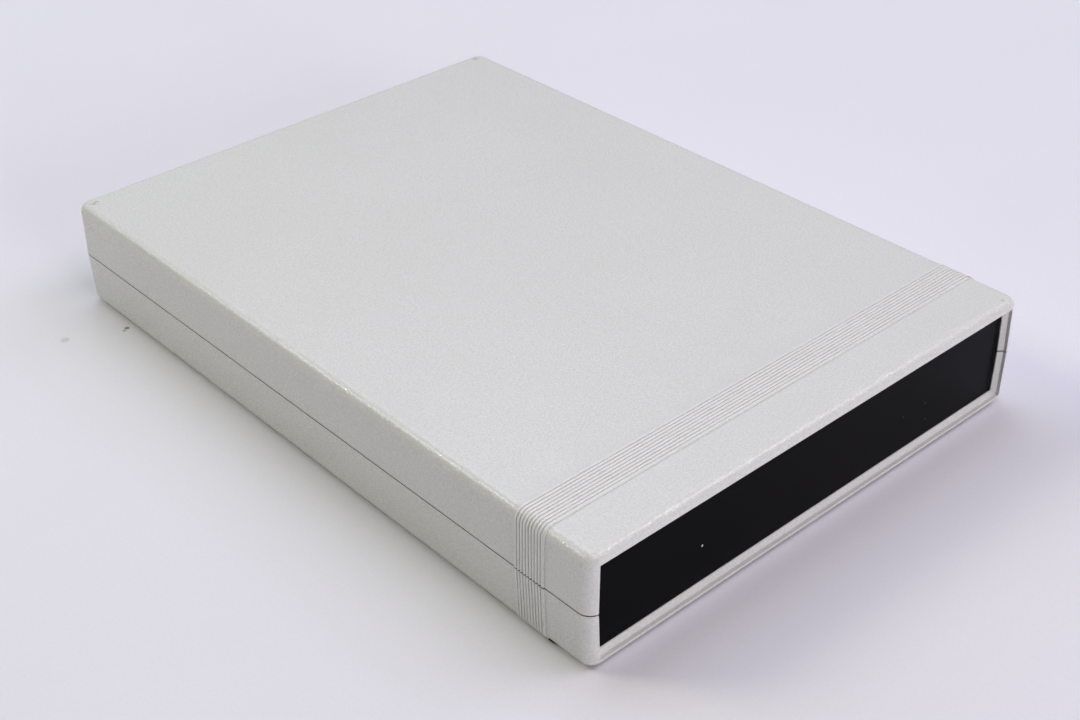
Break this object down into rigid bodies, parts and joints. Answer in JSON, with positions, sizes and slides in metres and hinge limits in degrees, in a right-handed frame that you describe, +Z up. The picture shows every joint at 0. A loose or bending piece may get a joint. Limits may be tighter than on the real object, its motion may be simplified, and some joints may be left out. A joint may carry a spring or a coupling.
{
  "type": "instrument enclosure",
  "caption": "Low flat two-shell desktop instrument case with a flat panel held behind a bevelled lip at each end, a ribbed band near the front, rubber feet and board pillars inside.",
  "frame": {"origin": "centre of the case on the surface that its feet stand on", "axes": "+X to the right across the width, +Y from the front end to the rear end, +Z up"},
  "size_m": [0.1848, 0.2596, 0.0397],
  "materials": {
    "case_plastic": "fine spark-textured light warm grey ABS, satin",
    "panel_black": "smooth satin black plastic",
    "screw_steel": "zinc plated steel",
    "foot_rubber": "matt black rubber"
  },
  "bodies": {
    "root": {"top_shell": "case_plastic", "bottom_shell": "case_plastic", "front_panel": "panel_black", "rear_panel": "panel_black", "case_screws": "screw_steel", "foot_front_left": "foot_rubber", "foot_front_right": "foot_rubber", "foot_rear_left": "foot_rubber", "foot_rear_right": "foot_rubber"}
  },
  "joints": []
}
